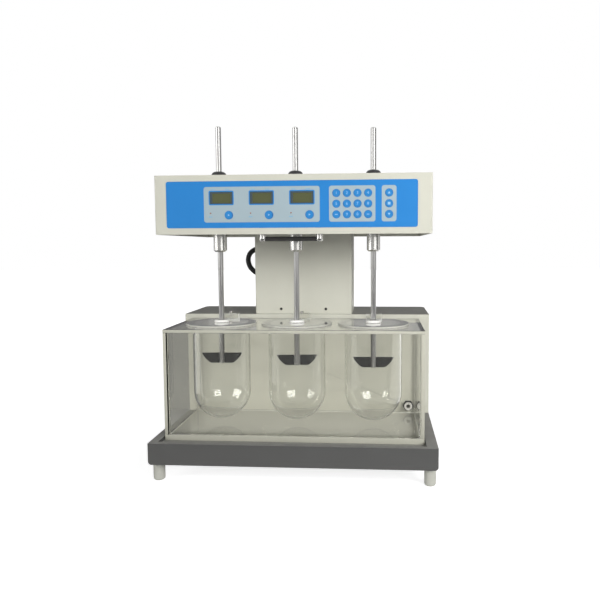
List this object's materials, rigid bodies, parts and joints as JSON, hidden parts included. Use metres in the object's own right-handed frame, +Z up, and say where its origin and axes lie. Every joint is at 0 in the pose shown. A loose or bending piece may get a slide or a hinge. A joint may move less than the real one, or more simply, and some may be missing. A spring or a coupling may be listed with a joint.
{
  "type": "dissolution tester",
  "caption": "Bench dissolution tester: clear water bath with round-bottomed vessels, covers and paddle stirrers under a lifting drive head with displays and keys.",
  "frame": {"origin": "on the bench under the middle of the base tray, at the underside of the feet", "axes": "+Z up, front panel towards -Y, +X to the right seen from the front"},
  "size_m": [0.5, 0.385, 0.6315],
  "materials": {
    "beige_paint": "fine powder coat",
    "grey_paint": "hammered powder coat",
    "black_paint": "satin",
    "foot_plastic": "satin",
    "clear_acrylic": "polished clear",
    "vessel_glass": "polished clear",
    "white_plastic": "satin",
    "black_plastic": "satin",
    "red_plastic": "gloss",
    "blue_panel": "satin printed film",
    "key_blue": "satin",
    "display_glass": "clear window",
    "board_green": "satin",
    "cable_sheath": "smooth",
    "grip_black": "smooth",
    "black_rubber": "matt",
    "chrome": "polished",
    "steel": "brushed",
    "dark_steel": "black oxide",
    "stirrer_steel": "polished",
    "aluminium": "milled"
  },
  "bodies": {
    "frame": {"base_tray": "grey_paint", "feet": "foot_plastic", "bath_tank": "clear_acrylic", "bath_top_plate": "clear_acrylic", "vessel_left": "vessel_glass", "vessel_middle": "vessel_glass", "vessel_right": "vessel_glass", "clamp_blocks": "clear_acrylic", "clamp_knobs": "steel", "circulation_port": "white_plastic", "port_nut": "black_plastic", "rear_front_panel": "beige_paint", "rear_cover": "grey_paint", "column_shell": "beige_paint", "mast_guides": "white_plastic", "gas_spring_body": "black_paint", "circulation_heater": "black_plastic", "power_inlet": "black_plastic", "conduit": "cable_sheath"},
    "head": {"head_cover": "beige_paint", "head_chassis": "aluminium", "overlay_panel": "blue_panel", "displays": "display_glass", "control_board": "board_green", "handle_brackets": "chrome", "handle_grip": "grip_black", "shaft_caps": "black_rubber", "bearings": "steel", "drive_motor": "black_paint", "drive_belt": "black_rubber", "lift_mast": "steel"},
    "power_rocker": {"power_rocker": "red_plastic"},
    "motor_pulley": {"motor_pulley": "aluminium"},
    "spindle_left": {"spindle_left": "chrome"},
    "spindle_middle": {"spindle_middle": "chrome"},
    "spindle_right": {"spindle_right": "chrome"},
    "stirrer_left": {"stirrer_left": "stirrer_steel"},
    "stirrer_middle": {"stirrer_middle": "stirrer_steel"},
    "stirrer_right": {"stirrer_right": "stirrer_steel"},
    "lid_left": {"lid_left": "clear_acrylic"},
    "lid_middle": {"lid_middle": "clear_acrylic"},
    "lid_right": {"lid_right": "clear_acrylic"},
    "display_key_left": {"display_key_left": "key_blue"},
    "display_key_middle": {"display_key_middle": "key_blue"},
    "display_key_right": {"display_key_right": "key_blue"},
    "key_top_1": {"key_top_1": "key_blue"},
    "key_top_2": {"key_top_2": "key_blue"},
    "key_top_3": {"key_top_3": "key_blue"},
    "key_top_4": {"key_top_4": "key_blue"},
    "key_mid_1": {"key_mid_1": "key_blue"},
    "key_mid_2": {"key_mid_2": "key_blue"},
    "key_mid_3": {"key_mid_3": "key_blue"},
    "key_mid_4": {"key_mid_4": "key_blue"},
    "key_low_1": {"key_low_1": "key_blue"},
    "key_low_2": {"key_low_2": "key_blue"},
    "key_low_3": {"key_low_3": "key_blue"},
    "key_low_4": {"key_low_4": "key_blue"},
    "key_up": {"key_up": "key_blue"},
    "key_stop": {"key_stop": "key_blue"},
    "key_down": {"key_down": "key_blue"}
  },
  "joints": [
    {"name": "head_lift", "type": "slide", "parent": "frame", "child": "head", "axis": [0, 0, 1], "range_m": [0, 0.18], "deforming": ["conduit"]},
    {"name": "spindle_left_spin", "type": "hinge", "parent": "head", "child": "spindle_left", "pos_m": [-0.149, -0.0635, 0.46], "axis": [0, 0, 1], "continuous": true},
    {"name": "spindle_middle_spin", "type": "hinge", "parent": "head", "child": "spindle_middle", "pos_m": [-0.005, -0.0635, 0.46], "axis": [0, 0, 1], "continuous": true},
    {"name": "spindle_right_spin", "type": "hinge", "parent": "head", "child": "spindle_right", "pos_m": [0.139, -0.0635, 0.46], "axis": [0, 0, 1], "continuous": true},
    {"name": "motor_spin", "type": "hinge", "parent": "head", "child": "motor_pulley", "pos_m": [0.067, 0.0265, 0.5], "axis": [0, 0, 1], "continuous": true},
    {"name": "stirrer_left_slide", "type": "slide", "parent": "spindle_left", "child": "stirrer_left", "axis": [0, 0, 1], "range_m": [-0.075, 0.045]},
    {"name": "stirrer_middle_slide", "type": "slide", "parent": "spindle_middle", "child": "stirrer_middle", "axis": [0, 0, 1], "range_m": [-0.075, 0.048]},
    {"name": "stirrer_right_slide", "type": "slide", "parent": "spindle_right", "child": "stirrer_right", "axis": [0, 0, 1], "range_m": [-0.075, 0.051]},
    {"name": "lid_left_lift", "type": "slide", "parent": "head", "child": "lid_left", "axis": [0, 0, 1], "range_m": [0, 0.11]},
    {"name": "lid_middle_lift", "type": "slide", "parent": "head", "child": "lid_middle", "axis": [0, 0, 1], "range_m": [0, 0.11]},
    {"name": "lid_right_lift", "type": "slide", "parent": "head", "child": "lid_right", "axis": [0, 0, 1], "range_m": [0, 0.11]},
    {"name": "display_key_left_press", "type": "slide", "parent": "head", "child": "display_key_left", "axis": [0, 1, 0], "range_m": [0, 0.0005], "stiffness_N_per_m": 2000, "springref_m": -0.0004},
    {"name": "display_key_middle_press", "type": "slide", "parent": "head", "child": "display_key_middle", "axis": [0, 1, 0], "range_m": [0, 0.0005], "stiffness_N_per_m": 2000, "springref_m": -0.0004},
    {"name": "display_key_right_press", "type": "slide", "parent": "head", "child": "display_key_right", "axis": [0, 1, 0], "range_m": [0, 0.0005], "stiffness_N_per_m": 2000, "springref_m": -0.0004},
    {"name": "key_top_1_press", "type": "slide", "parent": "head", "child": "key_top_1", "axis": [0, 1, 0], "range_m": [0, 0.0005], "stiffness_N_per_m": 2000, "springref_m": -0.0004},
    {"name": "key_top_2_press", "type": "slide", "parent": "head", "child": "key_top_2", "axis": [0, 1, 0], "range_m": [0, 0.0005], "stiffness_N_per_m": 2000, "springref_m": -0.0004},
    {"name": "key_top_3_press", "type": "slide", "parent": "head", "child": "key_top_3", "axis": [0, 1, 0], "range_m": [0, 0.0005], "stiffness_N_per_m": 2000, "springref_m": -0.0004},
    {"name": "key_top_4_press", "type": "slide", "parent": "head", "child": "key_top_4", "axis": [0, 1, 0], "range_m": [0, 0.0005], "stiffness_N_per_m": 2000, "springref_m": -0.0004},
    {"name": "key_mid_1_press", "type": "slide", "parent": "head", "child": "key_mid_1", "axis": [0, 1, 0], "range_m": [0, 0.0005], "stiffness_N_per_m": 2000, "springref_m": -0.0004},
    {"name": "key_mid_2_press", "type": "slide", "parent": "head", "child": "key_mid_2", "axis": [0, 1, 0], "range_m": [0, 0.0005], "stiffness_N_per_m": 2000, "springref_m": -0.0004},
    {"name": "key_mid_3_press", "type": "slide", "parent": "head", "child": "key_mid_3", "axis": [0, 1, 0], "range_m": [0, 0.0005], "stiffness_N_per_m": 2000, "springref_m": -0.0004},
    {"name": "key_mid_4_press", "type": "slide", "parent": "head", "child": "key_mid_4", "axis": [0, 1, 0], "range_m": [0, 0.0005], "stiffness_N_per_m": 2000, "springref_m": -0.0004},
    {"name": "key_low_1_press", "type": "slide", "parent": "head", "child": "key_low_1", "axis": [0, 1, 0], "range_m": [0, 0.0005], "stiffness_N_per_m": 2000, "springref_m": -0.0004},
    {"name": "key_low_2_press", "type": "slide", "parent": "head", "child": "key_low_2", "axis": [0, 1, 0], "range_m": [0, 0.0005], "stiffness_N_per_m": 2000, "springref_m": -0.0004},
    {"name": "key_low_3_press", "type": "slide", "parent": "head", "child": "key_low_3", "axis": [0, 1, 0], "range_m": [0, 0.0005], "stiffness_N_per_m": 2000, "springref_m": -0.0004},
    {"name": "key_low_4_press", "type": "slide", "parent": "head", "child": "key_low_4", "axis": [0, 1, 0], "range_m": [0, 0.0005], "stiffness_N_per_m": 2000, "springref_m": -0.0004},
    {"name": "key_up_press", "type": "slide", "parent": "head", "child": "key_up", "axis": [0, 1, 0], "range_m": [0, 0.0005], "stiffness_N_per_m": 2000, "springref_m": -0.0004},
    {"name": "key_stop_press", "type": "slide", "parent": "head", "child": "key_stop", "axis": [0, 1, 0], "range_m": [0, 0.0005], "stiffness_N_per_m": 2000, "springref_m": -0.0004},
    {"name": "key_down_press", "type": "slide", "parent": "head", "child": "key_down", "axis": [0, 1, 0], "range_m": [0, 0.0005], "stiffness_N_per_m": 2000, "springref_m": -0.0004},
    {"name": "power_rocker_tilt", "type": "hinge", "parent": "frame", "child": "power_rocker", "pos_m": [0.152, 0.186, 0.121], "axis": [1, 0, 0], "range_deg": [0, 16]}
  ],
  "couplings": [
    {"joint": "spindle_left_spin", "follows": "spindle_middle_spin", "ratio": 1},
    {"joint": "spindle_right_spin", "follows": "spindle_middle_spin", "ratio": 1},
    {"joint": "motor_spin", "follows": "spindle_middle_spin", "ratio": 1.6667}
  ]
}
